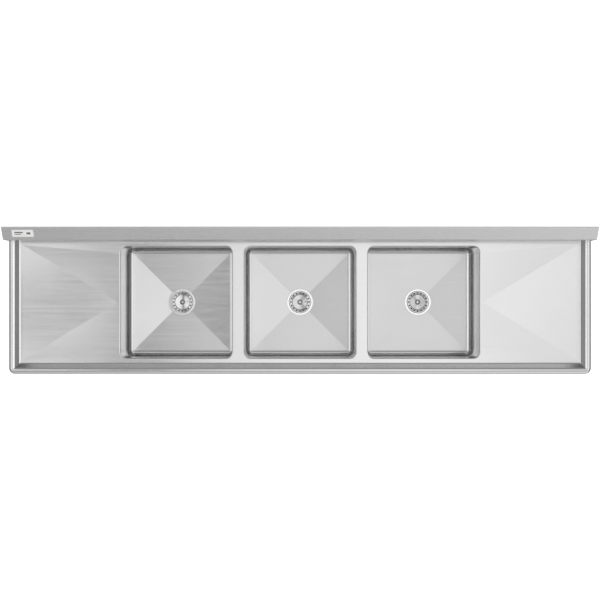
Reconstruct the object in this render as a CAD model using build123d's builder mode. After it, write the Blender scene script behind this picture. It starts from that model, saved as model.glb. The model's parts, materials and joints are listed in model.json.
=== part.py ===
from build123d import *
import os
from math import asin, atan2, degrees, hypot, radians, tan

# Three compartment commercial sink with a drainboard at each end.
# Millimetres. +X runs along the sink, -Y faces the user, +Z is up.
# The origin is on the floor, under the middle of the sink's outline.

# Overall size
sink_length = 2387.6
sink_depth = 597.0
deck_z = 940.0
gauge = 1.5

# Bowls: square, drawn from one sheet, with a rolled-down lip and a creased floor
bowl_size = 457.2
bowl_depth = 355.6
bowl_pitch = 508.0
bowl_y = -4.0
bowl_corner_r = 26.0
bowl_cove_r = 25.0
bowl_lip_r = 5.0
bowl_floor_z = deck_z - bowl_depth
floor_fall = 13.5
bowl_straight = bowl_size - 2 * bowl_corner_r

# Rolled rim round the front and both ends
rim_r = 15.9
rim_lift = 3.0
rim_width = 48.0
rim_cove_r = 10.0
rim_curl = 120.0
corner_r = 25.0

# Drainboards: a floor of three facets that falls to the middle of the bowl's edge
seam_x = 750.0
dish_inset = 10.0
dish_back_y = 230.0
dish_drop = 12.0
skirt = 25.0

# Backsplash: upright, 45 degree return, and a turned-down back edge
splash_face_y = 246.5
splash_rise = 203.2
splash_cove_r = 9.5
splash_bend_r = 3.0
splash_fold_r = 2.5
splash_flange = 20.0
splash_apron = 16.0
faucet_x = bowl_pitch / 2
faucet_spacing = 203.2
faucet_rise = 101.6
faucet_hole_r = 14.3

# Plain label on the backsplash's return
label_length = 86.0
label_height = 38.0
label_thick = 0.5
label_corner_r = 2.0
label_x = -1110.0

# Channels under the drainboards
channel_width = 60.0
channel_gauge = 2.0
channel_web_z = deck_z - gauge - dish_drop - 22.0
channel_front_y = -246.0
channel_back_y = 236.0
leg_x = 790.0
board_channel_x = 1010.0

# Legs, their sockets and their adjustable feet
leg_r = 20.65
leg_gauge = 1.5
leg_front_y = bowl_y - 205.0
leg_back_y = bowl_y + 205.0
leg_bottom_z = 66.0
socket_plate = 74.0
socket_plate_thick = 4.0
socket_plate_corner_r = 8.0
socket_fillet_r = 9.0
socket_chamfer = 1.5
socket_r = 26.0
socket_bore_r = leg_r + 0.25
socket_length = 62.0
socket_screw_rise = 20.0
insert_flange = 4.0
insert_length = 30.0
insert_chamfer = 1.0
insert_clearance = 0.1
stem_r = 8.0
stem_clearance = 0.08
stem_top_z = 119.0
stem_chamfer = 1.0
foot_r = 19.5
foot_pad_r = 11.0
foot_waist_r = 17.3
foot_waist_z = 9.0
foot_side_z = 24.0
foot_hex_r = 16.5
foot_hex_z = 38.0
foot_hex_height = 10.0
foot_shoulder = 2.0

# Braces between the legs, and the fittings that hold them
brace_z = 250.0
brace_r = 12.7
brace_gauge = 1.2
brace_clearance = 0.1
fitting_r = 27.0
fitting_height = 40.0
fitting_chamfer = 2.0
fitting_bore_r = leg_r + 0.2
branch_r = 17.0
branch_floor = 30.0
branch_end = 62.0

# Set screws
screw_r = 4.0
screw_length = 8.0
screw_clearance = 0.05
screw_key_r = 2.2
screw_key_depth = 3.0

# Basket strainers; depths are below the top of the sheet in the drain's recess
seat_z = 572.8
recess_r = 58.0
drain_hole_r = 48.0
flange_r = 56.0
flange_thick = 1.8
flange_round = 0.9
cup_r = 45.0
cup_mouth_r = 48.5
cup_ledge_r = 43.8
cup_ledge = 8.0
cup_thread_r = 47.5
cup_floor = 51.0
throat_r = 19.0
throat_top = 53.5
outlet_rim_end = 55.0
spigot_r = 24.0
spigot_top = 57.5
spigot_end = 78.0
thread_clearance = 0.3

# Gasket, friction ring and locknut clamp the strainer from below
nut_r = 57.0
gasket_end = 4.5
ring_end = 5.5
locknut_end = 15.5
locknut_r = 54.0
lug_length = 6.0
lug_width = 12.0
lug_count = 6

# Washer, tailpiece with a bead that keeps its nut, and coupling nut
washer_r = 23.0
washer_end = 79.5
tail_r = 19.05
tail_bead_r = 20.0
tail_gauge = 1.2
tail_flange_end = 81.5
tail_bead_top = 87.0
tail_bead_end = 90.0
tail_bead_slope = 0.8
tail_end = 180.0
coupling_top = 66.0
coupling_r = 29.0
coupling_end = 85.0
coupling_chamfer = 1.0
grip_top = 68.0
grip_end = 82.0
grip_length = 4.0
grip_width = 5.0
grip_count = 8

# Basket: a pressed cup with a ring of holes round a dished middle
basket_sheet = 1.0
basket_rest = 7.5
basket_rim_r = 44.6
basket_wall_r = 42.8
basket_shelf = 16.0
basket_middle_r = 34.0
basket_middle = 18.0
basket_step_r = 32.0
basket_step = 22.0
basket_well_r = 11.5
basket_well = 25.5
basket_foot_r = 6.5
basket_foot = 32.0
basket_bends = (0.6, 1.5, 1.0, 2.0, 1.0, 1.0)
basket_holes = 16
basket_hole_circle_r = 38.6
basket_hole_r = 3.3

# Stopper: a rubber disc on a post with a knob
post_r = 2.5
post_bore_r = 2.58
knob_r = 5.6
knob_top_r = 3.4
knob_top = 14.0
knob_side = 15.6
knob_side_end = 17.8
knob_waist_r = 3.4
knob_waist = 21.5
knob_end = 26.0
plate_r = 15.0
plate_top = 45.8
stopper_bore_r = 2.55
stopper_top_r = 18.0
stopper_top = 46.8
stopper_side = 48.8
stopper_r = 21.5
stopper_edge = 51.2
stopper_end_r = 19.5
stopper_end = 52.0
post_nut_r = 4.5
post_end = 56.0

os.makedirs("parts", exist_ok=True)


def save(piece, name):
    piece.label = name
    export_step(piece, f"parts/{name}.step")


# ---------------------------------------------------------------- rolled rim

# The rise is a straight slope that is tangent to the cove at its foot and to the roll at its top.
rim_reach = rim_width - rim_r
rim_sink = rim_cove_r - rim_lift
rim_tangent = asin((rim_r + rim_cove_r) / hypot(rim_reach, rim_sink))
rim_slope = degrees(rim_tangent - atan2(rim_sink, rim_reach))
rim_corner = Vector(-sink_length / 2 + corner_r, -sink_depth / 2 + corner_r, deck_z)


def rim_section(corner, outward, outside_only=False):
    """The rim cut across. Local x points outwards from the corner's axis, local y up from the deck."""
    up = Vector(0, 0, 1)
    with BuildSketch(Plane(corner, x_dir=outward, z_dir=Vector(outward).cross(up))) as section:
        with BuildLine():
            cove = CenterArc((corner_r - rim_width, rim_cove_r), rim_cove_r + gauge / 2, -90, rim_slope)
            roll = CenterArc(
                (corner_r - rim_r, rim_lift),
                rim_r - gauge / 2,
                90 + rim_slope,
                -90 - rim_slope - rim_curl,
            )
            Line(cove @ 1, roll @ 0)
        trace(line_width=gauge)
        if outside_only:
            Rectangle(
                2 * corner_r, 4 * corner_r, align=(Align.MIN, Align.CENTER), mode=Mode.INTERSECT
            )
    return section.sketch


def rim_run(corner, outward, along, length):
    """A straight run of rim from the corner's axis, its inner side mitred for the next run."""
    with BuildPart() as run:
        extrude(rim_section(corner, outward), amount=length, dir=along)
        split(bisect_by=Plane(corner, z_dir=Vector(along) + Vector(outward)), keep=Keep.TOP)
    return run.part


# ---------------------------------------------------------------- rolled-down bowl edge


def lip_section(plane, shelf=0.0, fall=0.0):
    """The edge of a bowl. Local x points away from the bowl's wall, local y up from the deck."""
    with BuildSketch(plane) as section:
        with BuildLine():
            roll = CenterArc((bowl_lip_r, -bowl_lip_r), bowl_lip_r - gauge / 2, 90, 90)
            if shelf > 0:
                Line(roll @ 0 + Vector(shelf, 0), roll @ 0)
            if fall > 0:
                Line(roll @ 1, roll @ 1 - Vector(0, fall))
        trace(line_width=gauge)
    return section.sketch


# ---------------------------------------------------------------- bowls


def bowl_space(grow):
    """The space inside a bowl, or the block round it when grown by the sheet's gauge."""
    size = bowl_size + 2 * grow
    flat = bowl_size - 2 * bowl_cove_r
    bottom_z = bowl_floor_z - grow
    with BuildPart() as space:
        with BuildSketch(Plane.XY.offset(bottom_z)) as walls:
            RectangleRounded(size, size, bowl_corner_r + grow)
        extrude(walls.sketch, amount=deck_z - bowl_lip_r - bottom_z)
        fillet(space.faces().sort_by(Axis.Z)[0].edges(), bowl_cove_r + grow)
        with BuildSketch(Plane.XY.offset(bottom_z)) as floor:
            Rectangle(flat, flat)
        loft([floor.sketch, Vertex(0, 0, bottom_z - floor_fall)])
        with BuildSketch(Plane.XY.offset(seat_z - grow)) as recess:
            Circle(recess_r + grow)
        extrude(recess.sketch, amount=bowl_floor_z - seat_z)
    return space.part


def bowl_lip_quarter():
    """One side of the bowl's lip and the corner that follows it."""
    half = bowl_straight / 2
    side = Plane((bowl_size / 2, -half, deck_z), x_dir=(1, 0, 0), z_dir=(0, -1, 0))
    corner = Plane((bowl_size / 2, half, deck_z), x_dir=(1, 0, 0), z_dir=(0, -1, 0))
    with BuildPart() as quarter:
        extrude(lip_section(side), amount=bowl_straight, dir=(0, 1, 0))
        revolve(lip_section(corner), axis=Axis((half, half, 0), (0, 0, 1)), revolution_arc=90)
    return quarter.part


lip_quarter = bowl_lip_quarter()
bowl_block = bowl_space(gauge)
bowl_cavity = bowl_space(0.0)

with BuildPart() as bowl_blank:
    add(bowl_block)
    add(bowl_cavity, mode=Mode.SUBTRACT)
    with BuildSketch(Plane.XY.offset(seat_z)) as drain_hole:
        Circle(drain_hole_r)
    extrude(drain_hole.sketch, amount=floor_fall, both=True, mode=Mode.SUBTRACT)
    with PolarLocations(0, 4):
        add(lip_quarter)

# The outer bowls' outside walls are cut down to where the drainboard's skirt takes over.
for bowl_name, bowl_index in (("left", -1), ("centre", 0), ("right", 1)):
    with BuildPart() as bowl:
        with Locations((bowl_index * bowl_pitch, bowl_y, 0)):
            add(bowl_blank.part)
        if bowl_index != 0:
            with Locations((bowl_index * (bowl_pitch + bowl_size / 2), bowl_y, deck_z)):
                Box(
                    4 * bowl_lip_r,
                    bowl_straight,
                    2 * skirt,
                    mode=Mode.SUBTRACT,
                )
    save(bowl.part, f"bowl_{bowl_name}")

# ---------------------------------------------------------------- deck round the bowls

board_front_y = -sink_depth / 2 + rim_width
board_back_y = splash_face_y - splash_cove_r
board_outer_x = sink_length / 2 - rim_width
lip_edge_x = bowl_pitch + bowl_size / 2 + bowl_lip_r

with BuildPart() as bowl_deck:
    with BuildSketch(Plane.XY.offset(deck_z)) as deck_outline:
        with Locations((0, board_front_y)):
            Rectangle(2 * seam_x, board_back_y - board_front_y, align=(Align.CENTER, Align.MIN))
        with Locations((0, bowl_y)):
            with GridLocations(bowl_pitch, 1, 3, 1):
                RectangleRounded(
                    bowl_size + 2 * bowl_lip_r,
                    bowl_size + 2 * bowl_lip_r,
                    bowl_corner_r + bowl_lip_r,
                    mode=Mode.SUBTRACT,
                )
        with Locations((-seam_x, bowl_y), (seam_x, bowl_y)):
            Rectangle(2 * (seam_x - lip_edge_x), bowl_straight, mode=Mode.SUBTRACT)
    extrude(deck_outline.sketch, amount=-gauge)
    front_start = Vector(-seam_x, rim_corner.Y, deck_z)
    extrude(rim_section(front_start, (0, -1, 0)), amount=2 * seam_x, dir=(1, 0, 0))
save(bowl_deck.part, "bowl_deck")

# ---------------------------------------------------------------- drainboards

dish_outer_x = -(board_outer_x - dish_inset)
dish_outer_back = Vector(dish_outer_x, dish_back_y, deck_z)
dish_outer_front = Vector(dish_outer_x, board_front_y + dish_inset, deck_z)
dish_lip_back = Vector(-seam_x, bowl_y + bowl_straight / 2, deck_z)
dish_lip_front = Vector(-seam_x, bowl_y - bowl_straight / 2, deck_z)
dish_apex = Vector(-seam_x, bowl_y, deck_z - dish_drop)
dish_facets = [
    Face(Wire.make_polygon([dish_outer_back, dish_outer_front, dish_apex])),
    Face(Wire.make_polygon([dish_outer_back, dish_lip_back, dish_apex])),
    Face(Wire.make_polygon([dish_outer_front, dish_lip_front, dish_apex])),
]

with BuildPart() as left_drainboard:
    with BuildSketch(Plane.XY.offset(deck_z)) as board_outline:
        with Locations((-board_outer_x, board_front_y)):
            Rectangle(
                board_outer_x - seam_x,
                board_back_y - board_front_y,
                align=(Align.MIN, Align.MIN),
            )
        with BuildLine():
            Polyline(
                (dish_outer_back.X, dish_outer_back.Y),
                (dish_lip_back.X, dish_lip_back.Y),
                (dish_lip_front.X, dish_lip_front.Y),
                (dish_outer_front.X, dish_outer_front.Y),
                close=True,
            )
        make_face(mode=Mode.SUBTRACT)
    extrude(board_outline.sketch, amount=-gauge)
    for facet in dish_facets:
        extrude(facet, amount=gauge, dir=(0, 0, -1))
    # Rolled-down edge that falls with the floor to the middle of the bowl, and its skirt
    for lip_start in (dish_lip_back, dish_lip_front):
        lip_plane = Plane(
            (lip_edge_x - bowl_lip_r) * Vector(-1, 0, 0) + Vector(0, lip_start.Y, deck_z),
            x_dir=(-1, 0, 0),
            z_dir=(0, 1, 0),
        )
        lip_fall = dish_apex - lip_start
        extrude(
            lip_section(lip_plane, shelf=seam_x - lip_edge_x, fall=2 * skirt),
            amount=lip_fall.length,
            dir=lip_fall,
        )
    with Locations((bowl_lip_r - lip_edge_x, bowl_y, deck_z - skirt)):
        Box(
            4 * bowl_lip_r,
            bowl_size,
            2 * skirt + dish_drop,
            align=(Align.CENTER, Align.CENTER, Align.MAX),
            mode=Mode.SUBTRACT,
        )
    # Rolled rim along the end, round the corner and along the front
    add(rim_run(rim_corner, (-1, 0, 0), (0, 1, 0), splash_face_y - rim_corner.Y))
    add(rim_run(rim_corner, (0, -1, 0), (1, 0, 0), -seam_x - rim_corner.X))
    revolve(
        rim_section(rim_corner, (-1, 0, 0), outside_only=True),
        axis=Axis(rim_corner, (0, 0, 1)),
        revolution_arc=90,
    )
save(left_drainboard.part, "left_drainboard")

with BuildPart() as right_drainboard:
    mirror(left_drainboard.part, about=Plane.YZ)
save(right_drainboard.part, "right_drainboard")

# ---------------------------------------------------------------- backsplash

half_fold = radians(45 / 2)
splash_top_z = deck_z + splash_rise
splash_point_z = splash_top_z + splash_fold_r / tan(half_fold) - splash_fold_r - gauge / 2
splash_mid_y = splash_face_y + gauge / 2
splash_back_mid_y = sink_depth / 2 - gauge / 2
splash_knee_z = splash_point_z - (splash_back_mid_y - splash_mid_y)
splash_half = sink_length / 2 - gauge

with BuildPart() as backsplash:
    with BuildSketch(Plane.YZ) as splash_section:
        with BuildLine():
            splash_cove = CenterArc(
                (splash_face_y - splash_cove_r, deck_z + splash_cove_r), splash_cove_r + gauge / 2, -90, 90
            )
            FilletPolyline(
                splash_cove @ 1,
                (splash_mid_y, splash_knee_z),
                (splash_back_mid_y, splash_point_z),
                (splash_back_mid_y, splash_top_z - splash_flange),
                radius=[splash_bend_r, splash_fold_r],
            )
        trace(line_width=gauge)
    extrude(splash_section.sketch, amount=splash_half, both=True)
    # Behind each rolled rim the upright runs straight down, with no cove
    for side in (-1, 1):
        with Locations((side * (board_outer_x + splash_half) / 2, splash_face_y, deck_z)):
            Box(
                splash_half - board_outer_x,
                2 * splash_cove_r,
                4 * splash_cove_r,
                align=(Align.CENTER, Align.MAX, Align.CENTER),
                mode=Mode.SUBTRACT,
            )
        with Locations(
            (side * (board_outer_x + splash_half) / 2, splash_face_y, deck_z - splash_apron)
        ):
            Box(
                splash_half - board_outer_x,
                gauge,
                splash_apron + splash_cove_r,
                align=(Align.CENTER, Align.MIN, Align.MIN),
            )
    with BuildSketch(Plane.XZ.offset(-splash_face_y)) as faucet_holes:
        for faucet_side in (-1, 1):
            with Locations((faucet_side * faucet_x, deck_z + faucet_rise)):
                with GridLocations(faucet_spacing, 1, 2, 1):
                    Circle(faucet_hole_r)
    extrude(faucet_holes.sketch, amount=2 * gauge, both=True, mode=Mode.SUBTRACT)
save(backsplash.part, "backsplash")

# The caps' slope is the outer face of the return, which is square to the sheet's middle line.
cap_slope_lift = gauge / 2 * (2**0.5 - 1)
cap_knee_z = splash_knee_z + cap_slope_lift
cap_point_z = cap_knee_z + sink_depth / 2 - splash_face_y

for cap_name, cap_x in (("left", -sink_length / 2), ("right", sink_length / 2 - gauge)):
    with BuildPart() as end_cap:
        with BuildSketch(Plane.YZ.offset(cap_x)) as cap_outline:
            with BuildLine():
                Polyline(
                    (splash_face_y, deck_z - splash_apron),
                    (splash_face_y, cap_knee_z),
                    (sink_depth / 2, cap_point_z),
                    (sink_depth / 2, deck_z - splash_apron),
                    close=True,
                )
            make_face()
            cap_knee = cap_outline.vertices().group_by(Axis.Y)[0].sort_by(Axis.Z)[-1]
            fillet(cap_knee, splash_bend_r + gauge / 2)
            fillet(cap_outline.vertices().sort_by(Axis.Y)[-1], splash_fold_r + gauge / 2)
        extrude(cap_outline.sketch, amount=gauge)
    save(end_cap.part, f"{cap_name}_end_cap")

# ---------------------------------------------------------------- label

with BuildPart() as label_plate:
    slope_middle = Vector(
        label_x,
        (splash_mid_y + splash_back_mid_y) / 2,
        (splash_knee_z + splash_point_z) / 2,
    )
    slope_normal = Vector(0, -1, 1).normalized()
    label_plane = Plane(slope_middle + slope_normal * gauge / 2, x_dir=(1, 0, 0), z_dir=slope_normal)
    with BuildSketch(label_plane):
        RectangleRounded(label_length, label_height, label_corner_r)
    extrude(amount=label_thick)
save(label_plate.part, "label_plate")

# ---------------------------------------------------------------- channels under the drainboards

channel_floor_z = channel_web_z - channel_gauge


def board_channel(middle_x):
    """A channel, open side up, whose edges are trimmed to the underside of the drainboard's floor."""
    with BuildPart() as channel:
        with BuildSketch(Plane.XZ.offset(-channel_front_y)) as channel_section:
            with Locations((middle_x, channel_floor_z)):
                Rectangle(
                    channel_width,
                    deck_z - gauge - channel_floor_z,
                    align=(Align.CENTER, Align.MIN),
                )
            with Locations((middle_x, channel_web_z)):
                Rectangle(
                    channel_width - 2 * channel_gauge,
                    deck_z - gauge - channel_web_z,
                    align=(Align.CENTER, Align.MIN),
                    mode=Mode.SUBTRACT,
                )
        extrude(channel_section.sketch, amount=channel_back_y - channel_front_y, dir=(0, 1, 0))
        for board_facet in dish_facets:
            underside = board_facet.translate((0, 0, -gauge))
            extrude(underside, amount=2 * dish_drop, dir=(0, 0, 1), mode=Mode.SUBTRACT)
    return channel.part


for channel_name, channel_x in (("leg_channel", leg_x), ("board_channel", board_channel_x)):
    left_channel = board_channel(-channel_x)
    with BuildPart() as right_channel:
        mirror(left_channel, about=Plane.YZ)
    save(left_channel, f"left_{channel_name}")
    save(right_channel.part, f"right_{channel_name}")

# ---------------------------------------------------------------- legs

leg_places = {
    "front_left": (-leg_x, leg_front_y),
    "front_right": (leg_x, leg_front_y),
    "rear_left": (-leg_x, leg_back_y),
    "rear_right": (leg_x, leg_back_y),
}
leg_top_z = channel_floor_z - socket_plate_thick
socket_end_z = channel_floor_z - socket_length
socket_screw_z = socket_end_z + socket_screw_rise

for leg_name, (x, y) in leg_places.items():
    with BuildPart() as leg_socket:
        with BuildSketch(Plane.XY.offset(channel_floor_z)) as plate_outline:
            with Locations((x, y)):
                RectangleRounded(socket_plate, socket_plate, socket_plate_corner_r)
        extrude(plate_outline.sketch, amount=-socket_plate_thick)
        with BuildSketch(Plane.XY.offset(leg_top_z)) as collar_outline:
            with Locations((x, y)):
                Circle(socket_r)
        extrude(collar_outline.sketch, amount=socket_end_z - leg_top_z)
        collar_wall = leg_socket.faces().filter_by(GeomType.CYLINDER).sort_by(Axis.Z)[0]
        fillet(collar_wall.edges().sort_by(Axis.Z)[-1], socket_fillet_r)
        chamfer(leg_socket.faces().sort_by(Axis.Z)[0].edges(), socket_chamfer)
        with BuildSketch(Plane.XY.offset(leg_top_z)) as leg_bore:
            with Locations((x, y)):
                Circle(socket_bore_r)
        extrude(leg_bore.sketch, amount=socket_end_z - leg_top_z, mode=Mode.SUBTRACT)
        with BuildSketch(Plane.XZ.offset(-y)) as screw_hole:
            with Locations((x, socket_screw_z)):
                Circle(screw_r)
        extrude(screw_hole.sketch, amount=2 * socket_r, mode=Mode.SUBTRACT)
    save(leg_socket.part, f"leg_socket_{leg_name}")

    with BuildPart() as leg:
        with BuildSketch(Plane.XY.offset(leg_bottom_z)):
            with Locations((x, y)):
                Circle(leg_r)
                Circle(leg_r - leg_gauge, mode=Mode.SUBTRACT)
        extrude(amount=leg_top_z - leg_bottom_z)
    save(leg.part, f"leg_{leg_name}")

    with BuildPart() as foot_insert:
        with BuildSketch(Plane.XY.offset(leg_bottom_z - insert_flange)) as insert_rim:
            with Locations((x, y)):
                Circle(leg_r)
        extrude(insert_rim.sketch, amount=insert_flange)
        chamfer(foot_insert.faces().sort_by(Axis.Z)[0].edges(), insert_chamfer)
        with BuildSketch(Plane.XY.offset(leg_bottom_z)) as insert_plug:
            with Locations((x, y)):
                Circle(leg_r - leg_gauge - insert_clearance)
        extrude(insert_plug.sketch, amount=insert_length)
        with Locations((x, y, leg_bottom_z)):
            Hole(stem_r + stem_clearance)
    save(foot_insert.part, f"foot_insert_{leg_name}")

    foot_hex_top = foot_hex_z + foot_hex_height
    with BuildPart() as foot:
        with BuildSketch(Plane.XZ) as foot_section:
            with BuildLine():
                Polyline((0, foot_hex_z), (0, 0), (foot_pad_r, 0))
                ThreePointArc((foot_pad_r, 0), (foot_waist_r, foot_waist_z), (foot_r, foot_side_z))
                Polyline(
                    (foot_r, foot_side_z),
                    (foot_r, foot_hex_z - foot_shoulder),
                    (foot_r - foot_shoulder, foot_hex_z),
                    (0, foot_hex_z),
                )
            make_face()
        revolve(foot_section.sketch, axis=Axis.Z)
        with BuildSketch(Plane.XY.offset(foot_hex_z)) as foot_hex:
            RegularPolygon(foot_hex_r, 6)
        extrude(foot_hex.sketch, amount=foot_hex_height)
        with BuildSketch(Plane.XY.offset(foot_hex_top)) as foot_stem:
            Circle(stem_r)
        extrude(foot_stem.sketch, amount=stem_top_z - foot_hex_top)
        chamfer(foot.faces().sort_by(Axis.Z)[-1].edges(), stem_chamfer)
    with BuildPart() as placed_foot:
        with Locations((x, y, 0)):
            add(foot.part)
    save(placed_foot.part, f"foot_{leg_name}")

# ---------------------------------------------------------------- braces and fittings


def brace_fitting(x, y, directions):
    """A collar round a leg, with a branch for each brace that leaves it."""
    centre = Vector(x, y, brace_z)
    with BuildPart() as fitting:
        with Locations(centre):
            Cylinder(fitting_r, fitting_height)
        chamfer(fitting.edges().filter_by(GeomType.CIRCLE), fitting_chamfer)
        for direction in directions:
            with BuildSketch(Plane(centre, z_dir=direction)) as branch:
                Circle(branch_r)
            extrude(branch.sketch, amount=branch_end)
        with Locations(centre):
            Cylinder(fitting_bore_r, 2 * fitting_height, mode=Mode.SUBTRACT)
        for direction in directions:
            with BuildSketch(Plane(centre, z_dir=direction).offset(branch_floor)) as branch_bore:
                Circle(brace_r + brace_clearance)
            extrude(branch_bore.sketch, amount=branch_end, mode=Mode.SUBTRACT)
    return fitting.part


def brace(start, direction, distance):
    """A tube from the floor of one fitting's branch to the floor of the next one's."""
    with BuildPart() as tube:
        with BuildSketch(Plane(start, z_dir=direction).offset(branch_floor)) as tube_section:
            Circle(brace_r)
            Circle(brace_r - brace_gauge, mode=Mode.SUBTRACT)
        extrude(tube_section.sketch, amount=distance - 2 * branch_floor)
    return tube.part


with BuildPart() as front_brace_fittings:
    add(brace_fitting(-leg_x, leg_front_y, [(0, 1, 0)]))
    add(brace_fitting(leg_x, leg_front_y, [(0, 1, 0)]))
save(front_brace_fittings.part, "front_brace_fittings")

with BuildPart() as rear_brace_fittings:
    add(brace_fitting(-leg_x, leg_back_y, [(0, -1, 0), (1, 0, 0)]))
    add(brace_fitting(leg_x, leg_back_y, [(0, -1, 0), (-1, 0, 0)]))
save(rear_brace_fittings.part, "rear_brace_fittings")

save(brace((-leg_x, leg_front_y, brace_z), (0, 1, 0), leg_back_y - leg_front_y), "left_brace")
save(brace((leg_x, leg_front_y, brace_z), (0, 1, 0), leg_back_y - leg_front_y), "right_brace")
save(brace((-leg_x, leg_back_y, brace_z), (1, 0, 0), 2 * leg_x), "rear_brace")

with BuildPart() as set_screws:
    for x, y in leg_places.values():
        with BuildSketch(Plane.XZ.offset(leg_r - y)) as screw_end:
            with Locations((x, socket_screw_z)):
                Circle(screw_r - screw_clearance)
        extrude(screw_end.sketch, amount=screw_length)
        with BuildSketch(Plane.XZ.offset(leg_r - y + screw_length)) as screw_key:
            with Locations((x, socket_screw_z)):
                RegularPolygon(screw_key_r, 6)
        extrude(screw_key.sketch, amount=-screw_key_depth, mode=Mode.SUBTRACT)
save(set_screws.part, "set_screws")

# ---------------------------------------------------------------- basket strainers


def turned(points):
    """A round piece from its half section, as (radius, depth below the drain's seat)."""
    with BuildPart() as piece:
        with BuildSketch(Plane.XZ) as half_section:
            with BuildLine():
                Polyline(*[(radius, -depth) for radius, depth in points], close=True)
            make_face()
        revolve(half_section.sketch, axis=Axis.Z)
    return piece.part


def ring(inner_r, outer_r, top, end):
    """A plain ring between two depths."""
    return turned([(inner_r, top), (outer_r, top), (outer_r, end), (inner_r, end)])


with BuildPart() as strainer_body:
    with BuildSketch(Plane.XZ) as body_section:
        with BuildLine():
            Polyline(
                (cup_r, -cup_ledge),
                (cup_r, -flange_thick),
                (cup_mouth_r, flange_thick),
                (flange_r, flange_thick),
                (flange_r, 0),
                (cup_thread_r, 0),
                (cup_thread_r, -cup_floor),
                (cup_ledge_r, -cup_floor),
                (cup_ledge_r, -cup_ledge),
                close=True,
            )
        make_face()
        flange_corners = body_section.vertices().group_by(Axis.Y)[-1]
        fillet(flange_corners, flange_round)
    revolve(body_section.sketch, axis=Axis.Z)

strainer_outlet = turned(
    [
        (cup_ledge_r, cup_floor),
        (cup_thread_r, cup_floor),
        (cup_thread_r, outlet_rim_end),
        (spigot_r, spigot_top),
        (spigot_r, spigot_end),
        (throat_r, spigot_end),
        (throat_r, throat_top),
    ]
)

clamp_bore_r = cup_thread_r + thread_clearance
gasket = ring(clamp_bore_r, nut_r, gauge, gasket_end)
friction_ring = ring(clamp_bore_r, nut_r, gasket_end, ring_end)

with BuildPart() as locknut:
    add(ring(clamp_bore_r, locknut_r, ring_end, locknut_end))
    with BuildSketch(Plane.XY.offset(-locknut_end)) as lug:
        with PolarLocations(locknut_r, lug_count):
            Rectangle(lug_length, lug_width)
    extrude(lug.sketch, amount=locknut_end - ring_end)

washer = ring(throat_r, washer_r, spigot_end, washer_end)

tail_bore_r = tail_r - tail_gauge
tailpiece = turned(
    [
        (tail_bore_r, washer_end),
        (washer_r, washer_end),
        (washer_r, tail_flange_end),
        (tail_r, tail_flange_end),
        (tail_r, tail_bead_top),
        (tail_bead_r, tail_bead_top + tail_bead_slope),
        (tail_bead_r, tail_bead_end - tail_bead_slope),
        (tail_r, tail_bead_end),
        (tail_r, tail_end),
        (tail_bore_r, tail_end),
    ]
)

coupling_bore_r = spigot_r + thread_clearance
coupling_neck_r = tail_r + thread_clearance
with BuildPart() as coupling_nut:
    add(ring(coupling_bore_r, coupling_r, coupling_top, tail_flange_end))
    add(ring(coupling_neck_r, coupling_r, tail_flange_end, coupling_end))
    nut_end_edges = coupling_nut.edges().filter_by(GeomType.CIRCLE).group_by(Axis.Z)[0]
    chamfer(nut_end_edges.sort_by(SortBy.RADIUS)[-1], coupling_chamfer)
    with BuildSketch(Plane.XY.offset(-grip_end)) as nut_grip:
        with PolarLocations(coupling_r, grip_count):
            Rectangle(grip_length, grip_width)
    extrude(nut_grip.sketch, amount=grip_end - grip_top)

with BuildPart() as basket:
    with BuildSketch(Plane.XZ) as basket_section:
        with BuildLine():
            FilletPolyline(
                (basket_rim_r, -basket_rest),
                (basket_wall_r, -basket_rest),
                (basket_wall_r, -basket_shelf),
                (basket_middle_r, -basket_middle),
                (basket_step_r, -basket_step),
                (basket_well_r, -basket_well),
                (basket_foot_r, -basket_foot),
                (post_bore_r, -basket_foot),
                radius=list(basket_bends),
            )
        trace(line_width=basket_sheet)
    revolve(basket_section.sketch, axis=Axis.Z)
    with BuildSketch(Plane.XY.offset(-basket_shelf / 2)) as drain_holes:
        with PolarLocations(basket_hole_circle_r, basket_holes):
            Circle(basket_hole_r)
    extrude(drain_holes.sketch, amount=-basket_shelf, mode=Mode.SUBTRACT)

stopper_post = turned(
    [
        (0, knob_top),
        (knob_top_r, knob_top),
        (knob_r, knob_side),
        (knob_r, knob_side_end),
        (knob_waist_r, knob_waist),
        (knob_waist_r, knob_end),
        (post_r, knob_end),
        (post_r, plate_top),
        (plate_r, plate_top),
        (plate_r, stopper_top),
        (post_r, stopper_top),
        (post_r, stopper_end),
        (post_nut_r, stopper_end),
        (post_nut_r, post_end),
        (0, post_end),
    ]
)

stopper = turned(
    [
        (stopper_bore_r, stopper_end),
        (stopper_end_r, stopper_end),
        (stopper_r, stopper_edge),
        (stopper_r, stopper_side),
        (stopper_top_r, stopper_top),
        (stopper_bore_r, stopper_top),
    ]
)

drain_places = {"left": -bowl_pitch, "centre": 0.0, "right": bowl_pitch}


def at_drain(piece, x):
    """A piece moved from the origin to a drain's seat."""
    with BuildPart() as placed:
        with Locations((x, bowl_y, seat_z)):
            add(piece)
    return placed.part


def at_every_drain(piece):
    """The same piece at all three drains, as one group of separate solids."""
    with BuildPart() as placed:
        with Locations(*[(x, bowl_y, seat_z) for x in drain_places.values()]):
            add(piece)
    return placed.part


for drain_name, x in drain_places.items():
    save(at_drain(strainer_body.part, x), f"strainer_body_{drain_name}")
    save(at_drain(strainer_outlet, x), f"strainer_outlet_{drain_name}")
    save(at_drain(tailpiece, x), f"tailpiece_{drain_name}")
    save(at_drain(basket.part, x), f"basket_{drain_name}")
    save(at_drain(stopper_post, x), f"stopper_post_{drain_name}")
    save(at_drain(stopper, x), f"stopper_{drain_name}")

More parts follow.
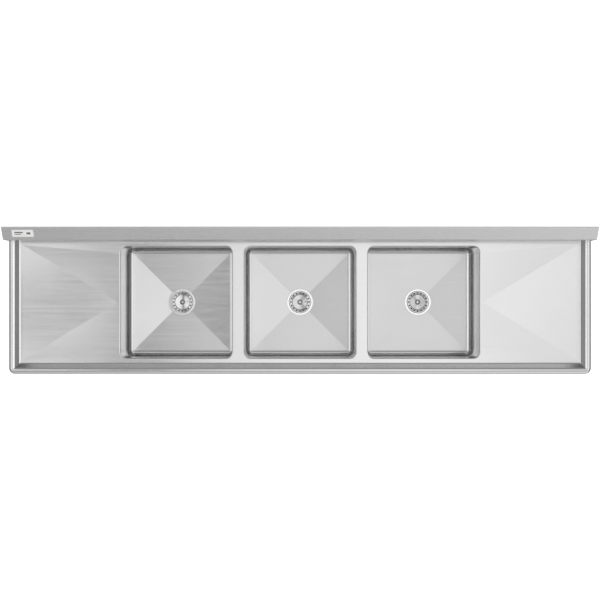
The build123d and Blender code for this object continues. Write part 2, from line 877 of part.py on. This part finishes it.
save(at_every_drain(gasket), "strainer_gaskets")
save(at_every_drain(friction_ring), "friction_rings")
save(at_every_drain(locknut.part), "locknuts")
save(at_every_drain(washer), "tailpiece_washers")
save(at_every_drain(coupling_nut.part), "coupling_nuts")
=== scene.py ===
import json

import bpy
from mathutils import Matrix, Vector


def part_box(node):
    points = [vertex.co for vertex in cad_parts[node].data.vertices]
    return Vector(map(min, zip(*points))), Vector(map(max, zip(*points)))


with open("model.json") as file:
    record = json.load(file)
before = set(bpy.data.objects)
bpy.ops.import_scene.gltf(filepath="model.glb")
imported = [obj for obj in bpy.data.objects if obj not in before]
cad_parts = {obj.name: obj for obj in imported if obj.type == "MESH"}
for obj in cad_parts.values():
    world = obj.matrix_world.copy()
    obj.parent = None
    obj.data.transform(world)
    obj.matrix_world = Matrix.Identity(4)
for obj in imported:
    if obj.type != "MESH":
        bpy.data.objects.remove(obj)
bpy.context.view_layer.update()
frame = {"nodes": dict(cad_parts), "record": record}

# Three compartment sink in brushed stainless steel, seen from straight above.
# Metres, in the CAD model's frame: +X along the sink, -Y towards the user, +Z up.

nodes = frame["nodes"]


# ---------------------------------------------------------------- node helpers

# Noise keeps mostly between these two values
NOISE_LOW = 0.25
NOISE_HIGH = 0.75

# A noise's offset moves its pattern by this much along each axis, so that two never line up
NOISE_SHIFT = (1.0, 2.3, 0.7)


class Graph:
    """A node tree under construction. A value is a socket, or a number or colour of its own."""

    def __init__(self, tree):
        self.tree = tree

    def add(self, kind, **settings):
        """A new node of a kind, with settings that aren't sockets."""
        node = self.tree.nodes.new("ShaderNode" + kind)
        for name, setting in settings.items():
            setattr(node, name, setting)
        return node

    def feed(self, value, target):
        """Links a socket to the target, or gives the target the value."""
        if isinstance(value, bpy.types.NodeSocket):
            self.tree.links.new(value, target)
        else:
            target.default_value = value

    def split(self, vector):
        """A vector's parts, by axis letter."""
        node = self.add("SeparateXYZ")
        self.feed(vector, node.inputs["Vector"])
        return {axis: node.outputs[axis] for axis in "XYZ"}

    def maths(self, operation, first, second=0.0):
        node = self.add("Math", operation=operation)
        self.feed(first, node.inputs[0])
        self.feed(second, node.inputs[1])
        return node.outputs["Value"]

    def mix(self, data_type, factor, first, second):
        """Between first (factor 0) and second (factor 1); data_type is FLOAT or RGBA."""
        node = self.add("Mix", data_type=data_type)
        self.feed(factor, node.inputs["Factor"])
        self.feed(first, node.inputs["A"])
        self.feed(second, node.inputs["B"])
        return node.outputs["Result"]

    def ranged(self, value, low, high, start=NOISE_LOW, end=NOISE_HIGH, curve="LINEAR"):
        """low where value is start, high where it is end; start may be the larger one."""
        node = self.add("MapRange", interpolation_type=curve)
        node.inputs["From Min"].default_value = start
        node.inputs["From Max"].default_value = end
        node.inputs["To Min"].default_value = low
        node.inputs["To Max"].default_value = high
        self.feed(value, node.inputs["Value"])
        return node.outputs["Result"]


def opaque(colour):
    return (*colour, 1.0)


def scaled(colour, factor):
    return tuple(min(1.0, part * factor) for part in colour)


def triple(number):
    """One number three times: a grey, or a scale that is even on all axes."""
    return (number, number, number)


class Shader(Graph):
    """A node material under construction, round its one Principled BSDF."""

    def __init__(self, name, colour, metallic, roughness):
        self.name = name
        self.material = bpy.data.materials.new(name)
        self.material.use_nodes = True
        super().__init__(self.material.node_tree)
        self.surface = self.tree.nodes["Principled BSDF"]
        self.surface.inputs["Base Color"].default_value = opaque(colour)
        self.surface.inputs["Metallic"].default_value = metallic
        self.surface.inputs["Roughness"].default_value = roughness
        self.place = self.add("TexCoord").outputs["Object"]
        self.normal = None

    def noise(self, stretch, detail, rough, offset=0.0, distortion=0.0):
        """Noise whose features repeat stretch times a metre along each axis."""
        mapping = self.add("Mapping")
        mapping.inputs["Scale"].default_value = stretch
        mapping.inputs["Location"].default_value = tuple(part * offset for part in NOISE_SHIFT)
        self.feed(self.place, mapping.inputs["Vector"])
        noise = self.add("TexNoise")
        noise.inputs["Scale"].default_value = 1.0
        noise.inputs["Detail"].default_value = detail
        noise.inputs["Roughness"].default_value = rough
        noise.inputs["Distortion"].default_value = distortion
        self.feed(mapping.outputs["Vector"], noise.inputs["Vector"])
        return noise.outputs["Fac"]

    def facing(self, axis, low, high):
        """0 where the normal leans along an axis, either way, by low, and 1 where by high."""
        normal = self.add("NewGeometry").outputs["True Normal"]
        return self.ranged(self.maths("ABSOLUTE", self.split(normal)[axis]), 0.0, 1.0, low, high)

    def colour(self, value):
        self.feed(value, self.surface.inputs["Base Color"])

    def roughness(self, value):
        self.feed(value, self.surface.inputs["Roughness"])

    def bump(self, height, distance):
        """Adds relief of that depth in metres, on top of earlier calls' relief."""
        node = self.add("Bump")
        node.inputs["Distance"].default_value = distance
        node.inputs["Strength"].default_value = 1.0
        self.feed(height, node.inputs["Height"])
        if self.normal:
            self.feed(self.normal, node.inputs["Normal"])
        self.normal = node.outputs["Normal"]
        self.feed(self.normal, self.surface.inputs["Normal"])

    def mottled(self, colour, cloud, dark, light):
        """The colour, times dark to light as a cloud of noise goes."""
        shades = opaque(scaled(colour, dark)), opaque(scaled(colour, light))
        return self.mix("RGBA", self.ranged(cloud, 0.0, 1.0), *shades)


# ---------------------------------------------------------------- finishes

# Brushed grain: lines a metre across and along them, and how much coarser the streaks are
GRAIN_ACROSS = 900.0
GRAIN_ALONG = 7.0
STREAKS_ACROSS = GRAIN_ACROSS / 9
STREAKS_ALONG = GRAIN_ALONG / 5

# How streaks and smudges share in the wear that varies a brushed sheet's tone and gloss
STREAK_SHARE = 0.6
SMUDGE_SHARE = 0.4

# Relief of the brushed lines, in metres
STREAK_DEPTH = 0.000012
GRAIN_DEPTH = 0.000006


def grain_stretch(direction, across, along):
    """Noise scales for lines that run along an axis, or level round the piece."""
    if direction == "ROUND":
        return (along, along, across)
    return tuple(along if axis == direction else across for axis in "XYZ")


def brushed(
    name, colour, roughness, grain="X", wave=0.00025, turn=None, wall_shine=1.0, wall_painted_light=1.0
):
    """Satin stainless steel: fine grain lines, faint streaks, smudges and slight waviness.

    turn is (axis, low, high, direction): where the normal leans that way, the grain follows
    the other direction, the roughness is multiplied by wall_shine, and the colour is multiplied
    by a factor of painted light that makes those walls brighter, as if more lit.
    """
    shader = Shader(name, colour, 1.0, roughness)
    turned = shader.facing(*turn[:3]) if turn else None

    def lines(across, along, offset):
        look = {"detail": 4.0, "rough": 0.65}
        value = shader.noise(grain_stretch(grain, across, along), offset=offset, **look)
        if turn is None:
            return value
        other = shader.noise(grain_stretch(turn[3], across, along), offset=offset + 3.0, **look)
        return shader.mix("FLOAT", turned, value, other)

    fine = lines(GRAIN_ACROSS, GRAIN_ALONG, 1.0)
    streaks = lines(STREAKS_ACROSS, STREAKS_ALONG, 5.0)
    smudges = shader.noise(triple(3.0), detail=4.0, rough=0.6, offset=9.0, distortion=0.6)
    wear = shader.maths(
        "ADD",
        shader.maths("MULTIPLY", streaks, STREAK_SHARE),
        shader.maths("MULTIPLY", smudges, SMUDGE_SHARE),
    )
    tint = shader.mottled(colour, wear, 0.955, 1.03)
    gloss = shader.maths(
        "ADD",
        shader.ranged(fine, -0.035, 0.035),
        shader.ranged(wear, roughness - 0.04, roughness + 0.05),
    )
    if turn:
        # Painted light: where the normal turns, the colour is brightened by a fixed factor, as if
        # lit more
        tint = shader.mix("RGBA", turned, tint, opaque(scaled(colour, wall_painted_light)))
        wall_gloss = shader.ranged(turned, 1.0, wall_shine, 0.0, 1.0)
        gloss = shader.maths("MULTIPLY", gloss, wall_gloss)
    shader.colour(tint)
    shader.roughness(gloss)
    shader.bump(shader.noise((4.0, 5.0, 4.0), detail=2.0, rough=0.4, offset=13.0), wave)
    shader.bump(streaks, STREAK_DEPTH)
    shader.bump(fine, GRAIN_DEPTH)
    return shader


def cast_metal(name, colour, roughness):
    """Die cast or tumbled metal: fine pits over a soft unevenness."""
    shader = Shader(name, colour, 1.0, roughness)
    pits = shader.noise(triple(900.0), detail=5.0, rough=0.7, offset=2.0)
    soft = shader.noise(triple(60.0), detail=3.0, rough=0.5, offset=4.0)
    shader.colour(shader.mottled(colour, soft, 0.88, 1.06))
    shader.roughness(shader.ranged(pits, roughness - 0.07, roughness + 0.1))
    shader.bump(soft, 0.0002)
    shader.bump(pits, 0.00006)
    return shader


def polished(name, colour, roughness):
    """Bright plated or polished metal with faint swirls and water marks."""
    shader = Shader(name, colour, 1.0, roughness)
    swirls = shader.noise(
        (160.0, 160.0, 700.0), detail=3.0, rough=0.6, offset=3.0, distortion=1.2
    )
    marks = shader.noise(triple(45.0), detail=4.0, rough=0.6, offset=6.0)
    shader.colour(shader.mottled(colour, marks, 0.93, 1.03))
    shader.roughness(shader.ranged(marks, roughness * 0.7, roughness * 1.6))
    shader.bump(swirls, 0.000012)
    shader.bump(marks, 0.00008)
    return shader


def moulded(name, colour, roughness, pitch, depth, variation=0.12):
    """Rubber, nylon or fibre: one dull colour broken by a fine texture."""
    shader = Shader(name, colour, 0.0, roughness)
    texture = shader.noise(triple(pitch), detail=4.0, rough=0.65, offset=2.0)
    cloudy = shader.noise(triple(35.0), detail=3.0, rough=0.5, offset=8.0)
    shader.colour(shader.mottled(colour, cloudy, 1 - variation, 1 + variation))
    shader.roughness(shader.ranged(texture, roughness - 0.06, roughness + 0.08))
    shader.bump(texture, depth)
    return shader


# Where the label's bars start and end, from its left edge, and their lowest and highest
# point, from its middle, in metres
LABEL_BARS = (
    (0.010, 0.044, 0.001, 0.006),
    (0.010, 0.036, -0.005, -0.002),
    (0.058, 0.074, -0.004, 0.004),
)


def label_film(name, colour):
    """White film with plain bars and a block in place of any print."""
    shader = moulded(name, colour, 0.42, 1500.0, 0.00001, variation=0.02)
    low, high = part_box("label_plate")
    left, middle = low.x, (low.z + high.z) / 2
    place = shader.split(shader.place)

    def within(axis, start, end):
        """1 between two places along an axis, 0 elsewhere."""
        node = shader.add("Math", operation="COMPARE")
        shader.feed(place[axis], node.inputs[0])
        node.inputs[1].default_value = (start + end) / 2
        node.inputs[2].default_value = (end - start) / 2
        return node.outputs["Value"]

    cover = None
    for start, end, lowest, highest in LABEL_BARS:
        bar = shader.maths(
            "MULTIPLY",
            within("X", left + start, left + end),
            within("Z", middle + lowest, middle + highest),
        )
        cover = bar if cover is None else shader.maths("MAXIMUM", cover, bar)
    film = shader.surface.inputs["Base Color"].links[0].from_socket
    shader.colour(shader.mix("RGBA", cover, film, opaque(triple(0.16))))
    return shader


SHEET = triple(0.69)
BOWL_SHEET = triple(0.615)

finishes = (
    brushed("deck_steel", SHEET, 0.20, turn=("X", 0.12, 0.3, "Y")),
    brushed("splash_steel", SHEET, 0.27, turn=("X", 0.5, 0.7, "ROUND")),
    brushed(
        "bowl_steel",
        BOWL_SHEET,
        0.23,
        wave=0.0004,
        turn=("Z", 0.93, 0.75, "ROUND"),
        wall_shine=0.6,
        # painted light: the bowl walls are coloured 1.38 times brighter than the bowl floor
        wall_painted_light=1.38,
    ),
    brushed("channel_steel", (0.5, 0.5, 0.49), 0.4, "Y"),
    brushed("leg_steel", (0.60, 0.60, 0.594), 0.26, "ROUND", wave=0.00008),
    brushed("foot_steel", (0.62, 0.62, 0.61), 0.24, "ROUND", wave=0.00002),
    cast_metal("screw_steel", (0.16, 0.16, 0.17), 0.42),
    cast_metal("socket_metal", (0.60, 0.60, 0.605), 0.38),
    cast_metal("fitting_metal", (0.58, 0.58, 0.585), 0.38),
    cast_metal("outlet_metal", (0.56, 0.56, 0.55), 0.36),
    cast_metal("nut_metal", (0.55, 0.55, 0.54), 0.40),
    polished("strainer_chrome", triple(0.80), 0.12),
    polished("basket_steel", triple(0.74), 0.16),
    polished("tailpiece_chrome", triple(0.78), 0.09),
    moulded("foot_insert_plastic", (0.045, 0.045, 0.05), 0.48, pitch=1400.0, depth=0.00003),
    moulded("rubber_black", (0.028, 0.028, 0.03), 0.62, pitch=1000.0, depth=0.00005),
    moulded("fibre_ring", (0.42, 0.27, 0.17), 0.75, pitch=800.0, depth=0.00008),
    label_film("label_face", (0.86, 0.86, 0.84)),
)


def finish_nodes():
    """Every CAD node gets the material of its slot's name."""
    materials = {shader.name: shader.material for shader in finishes}
    slots = {row["node"]: row["material_slot"] for row in frame["record"]["subparts"]}
    for name in sorted(nodes):
        nodes[name].data.materials.clear()
        nodes[name].data.materials.append(materials[slots[name]])


finish_nodes()


# ---------------------------------------------------------------- stage, light and camera

FLOOR_REACH = 30.0

# The floor's paper as the camera sees it, and as the steel sees it: tones and glow
PAPER_TONES = (0.925, 0.935)
PAPER_GLOW = 0.75
DIM_TONES = (0.49, 0.51)
DIM_GLOW = 0.05

# Brightness of the sky as the camera sees it
BACKDROP = 0.93

# The camera hangs over the middle of the sink and looks straight down
CAMERA_HEIGHT = 8.245
CAMERA_Y = 0.005
CAMERA_LENS = 106.8
CAMERA_SENSOR = 36.0
CAMERA_CLIP = 100.0


def plain_floor():
    """Pale paper at floor level, dimmer in the steel's reflections than to the camera."""
    mesh = bpy.data.meshes.new("floor")
    sides = ((-1, -1), (1, -1), (1, 1), (-1, 1))
    corners = [(x * FLOOR_REACH, y * FLOOR_REACH, 0) for x, y in sides]
    mesh.from_pydata(corners, [], [(0, 1, 2, 3)])
    floor = bpy.data.objects.new("floor", mesh)
    bpy.context.collection.objects.link(floor)
    shader = Shader("floor_paper", triple(0.93), metallic=0.0, roughness=0.9)
    shader.surface.inputs["Specular IOR Level"].default_value = 0.1
    shader.surface.inputs["Emission Color"].default_value = opaque(triple(1.0))
    cloudy = shader.noise(triple(1.5), detail=2.0, rough=0.5)
    seen = shader.add("LightPath").outputs["Is Camera Ray"]
    paper, dim = (
        shader.mix("RGBA", cloudy, opaque(triple(low)), opaque(triple(high)))
        for low, high in (PAPER_TONES, DIM_TONES)
    )
    shader.colour(shader.mix("RGBA", seen, dim, paper))
    glow = shader.ranged(seen, DIM_GLOW, PAPER_GLOW, 0.0, 1.0)
    shader.feed(glow, shader.surface.inputs["Emission Strength"])
    floor.data.materials.append(shader.material)


def softbox(name, place, width, depth, power, diffuse_only=False):
    """A rectangular area light that faces straight down, in metres and watts."""
    light = bpy.data.lights.new(name, "AREA")
    light.shape = "RECTANGLE"
    light.size = width
    light.size_y = depth
    light.energy = power
    lamp = bpy.data.objects.new(name, light)
    lamp.location = place
    lamp.visible_camera = False
    lamp.visible_glossy = not diffuse_only
    bpy.context.collection.objects.link(lamp)


class Sky(Graph):
    """The studio round the sink, as a brightness for each direction."""

    def __init__(self):
        world = bpy.data.worlds.new("studio")
        world.use_nodes = True
        bpy.context.scene.world = world
        super().__init__(world.node_tree)
        self.axes = self.split(self.add("TexCoord").outputs["Generated"])

    def ramp(self, axis, start, end, low, high):
        """low where the direction's part along an axis is start, high where it is end."""
        return self.ranged(self.axes[axis], low, high, start, end, curve="SMOOTHSTEP")

    def product(self, first, second):
        return self.maths("MULTIPLY", first, second)

    def finish(self, levels, seen):
        """The sum of the levels lights the sink; the camera sees one plain tone."""
        total = levels[0]
        for level in levels[1:]:
            total = self.maths("ADD", total, level)
        camera_ray = self.add("LightPath").outputs["Is Camera Ray"]
        tone = self.mix("FLOAT", camera_ray, total, seen)
        self.feed(tone, self.tree.nodes["Background"].inputs["Color"])


def studio_light():
    """Soft light from all round and near boxes overhead.

    The sky holds what is the same for every part of the sink: a ceiling that is brighter to the
    right, a ring round it, and screens in front and at both sides. The boxes hang low enough for
    each drainboard and bowl to see a ceiling of its own.
    """
    sky = Sky()
    overhead = sky.product(
        sky.product(sky.ramp("Z", 0.80, 0.99, 0.0, 0.62), sky.ramp("X", -0.10, 0.05, 0.36, 1.18)),
        sky.ramp("Y", 0.12, 0.03, 0.93, 1.0),
    )
    surround = sky.product(
        sky.ramp("Z", 0.15, 0.45, 0.06, 0.36), sky.ramp("Z", 0.94, 0.80, 0.0, 1.0)
    )
    crown = sky.ramp("Z", 0.988, 0.9995, 0.0, 0.12)
    front = sky.product(
        sky.ramp("Y", -0.55, -0.85, 0.0, 0.54), sky.ramp("X", -0.35, 0.35, 0.68, 1.85)
    )
    right = sky.product(sky.ramp("X", 0.35, 0.6, 0.0, 1.1), sky.ramp("Z", 0.4, 0.6, 0.0, 1.0))
    left = sky.product(sky.ramp("X", -0.35, -0.6, 0.0, 0.9), sky.ramp("Z", 0.5, 0.65, 0.0, 1.0))
    left_end = sky.ramp("X", -0.5, -0.9, 0.0, 0.06)
    sky.finish([overhead, surround, crown, front, right, left, left_end], BACKDROP)
    softbox("overhead_right", (0.21, 0.0, 5.2), width=2.18, depth=4.0, power=13.9)
    softbox("overhead_middle", (-0.37, 0.0, 5.1), width=0.75, depth=1.2, power=0.36)
    softbox("right_end", (1.95, 0.2, 5.2), width=1.3, depth=2.2, power=2.7)
    softbox("right_front", (1.7, 0.65, 5.1), width=0.8, depth=1.3, power=0.3)
    softbox("left_front", (-2.15, 0.86, 5.2), width=1.7, depth=1.48, power=7.6)
    softbox("left_back", (-2.15, -0.91, 5.2), width=1.7, depth=1.38, power=6.2)
    softbox("floor_fill", (0.0, 0.0, 9.0), width=12.0, depth=12.0, power=200.0, diffuse_only=True)


def photo_camera():
    view = bpy.data.cameras.new("camera")
    view.lens = CAMERA_LENS
    view.sensor_width = CAMERA_SENSOR
    view.clip_end = CAMERA_CLIP
    camera = bpy.data.objects.new("camera", view)
    camera.location = (0.0, CAMERA_Y, CAMERA_HEIGHT)
    bpy.context.collection.objects.link(camera)
    bpy.context.scene.camera = camera


plain_floor()
studio_light()
photo_camera()
bpy.context.scene.view_settings.view_transform = "Standard"
